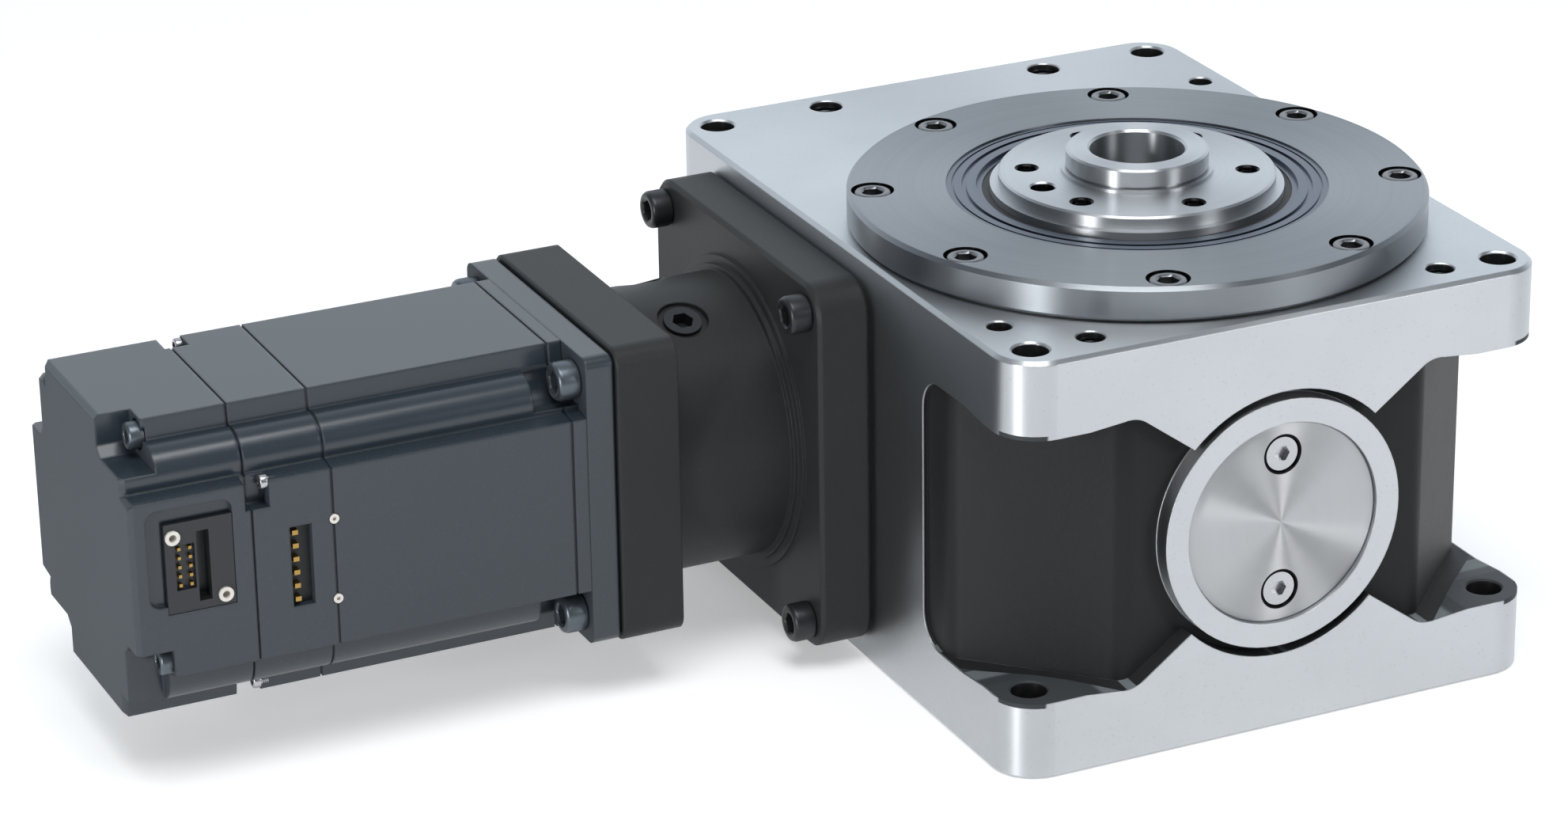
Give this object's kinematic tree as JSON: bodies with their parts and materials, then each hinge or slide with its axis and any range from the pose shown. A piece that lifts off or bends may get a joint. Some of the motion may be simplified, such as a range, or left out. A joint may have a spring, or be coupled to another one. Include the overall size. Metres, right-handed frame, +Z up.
{
  "type": "roller gear reducer",
  "caption": "Right-angle roller gear reducer with a hollow turning output hub, a round port on its front, a motor adapter and a square servo motor.",
  "frame": {"origin": "on the output axis, in the plane that the base stands on", "axes": "+Z up along the output axis, +X along the input axis away from the motor, -Y towards the face with the round port"},
  "size_m": [0.3487, 0.1986, 0.1297],
  "materials": {
    "housing_steel": "machined faces bare, corner pockets painted black",
    "cover_steel": "turned",
    "port_turned": "turned",
    "screw_steel": "bright plated",
    "screw_black": "black oxide",
    "seal_rubber": "smooth",
    "seal_metal": "turned, blue-grey",
    "bearing_steel": "ground",
    "hub_steel": "fine turned",
    "shaft_steel": "ground",
    "carrier_iron": "machined",
    "adapter_black": "black anodised",
    "gasket_dark": "matt",
    "coupling_alloy": "machined",
    "spider_soft": "satin",
    "motor_black": "black anodised, satin",
    "socket_plastic": "matt",
    "pin_gold": "gold plated",
    "core_iron": "laminated",
    "winding_copper": "enamelled copper wire in resin",
    "magnet_dark": "ground",
    "encoder_glass": "polished",
    "board_green": "printed board"
  },
  "bodies": {
    "housing_side": {"housing": "housing_steel", "port_cover": "port_turned", "port_cover_screws": "screw_steel", "port_seal_ring": "seal_rubber", "bearing_cover": "cover_steel", "cover_screws": "screw_steel", "output_seal_ring": "seal_metal", "output_seal_lip": "seal_rubber", "output_bearing_outer": "bearing_steel", "output_bearing_rollers": "bearing_steel", "input_bearing_outers": "bearing_steel", "input_bearing_balls": "bearing_steel", "carrier_motor_side": "carrier_iron", "carrier_far_side": "carrier_iron", "input_seal": "seal_rubber", "end_cover": "cover_steel", "end_cover_screws": "screw_steel", "lower_bearing_outer": "bearing_steel", "lower_bearing_balls": "bearing_steel", "bottom_cover": "cover_steel", "bottom_cover_screws": "screw_steel", "bottom_seal": "seal_rubber", "adapter_housing": "adapter_black", "adapter_gasket": "gasket_dark", "adapter_screws": "screw_black", "access_plugs": "screw_black", "motor_front_flange": "motor_black", "motor_frame": "motor_black", "motor_screws": "screw_black", "power_socket": "socket_plastic", "power_pins": "pin_gold", "stator_core": "core_iron", "stator_windings": "winding_copper", "motor_bearing_outers": "bearing_steel", "motor_bearing_balls": "bearing_steel", "rear_bearing_bracket": "carrier_iron", "encoder_cover": "motor_black", "encoder_socket": "socket_plastic", "encoder_pins": "pin_gold", "connector_screws": "screw_steel", "encoder_cover_screws": "screw_black", "encoder_board": "board_green"},
    "output": {"turret": "hub_steel", "bearing_locknut": "shaft_steel", "lower_retaining_ring": "shaft_steel", "centre_sleeve": "hub_steel", "follower_studs": "shaft_steel", "follower_rollers": "bearing_steel", "output_bearing_inner": "bearing_steel", "lower_bearing_inner": "bearing_steel"},
    "input": {"cam_shaft": "shaft_steel", "input_bearing_inners": "bearing_steel", "coupling_hub_cam": "coupling_alloy", "coupling_hub_motor": "coupling_alloy", "coupling_spider": "spider_soft", "coupling_clamp_screws": "screw_steel", "rotor_shaft": "shaft_steel", "rotor_magnets": "magnet_dark", "motor_bearing_inners": "bearing_steel", "encoder_disc": "encoder_glass"}
  },
  "joints": [
    {"name": "output_turn", "type": "hinge", "parent": "housing_side", "child": "output", "pos_m": [0, 0, 0.0553], "axis": [0, 0, 1], "continuous": true},
    {"name": "input_turn", "type": "hinge", "parent": "housing_side", "child": "input", "pos_m": [0, 0.0512, 0.0553], "axis": [1, 0, 0], "continuous": true}
  ],
  "couplings": [
    {"joint": "input_turn", "follows": "output_turn", "ratio": 12}
  ]
}
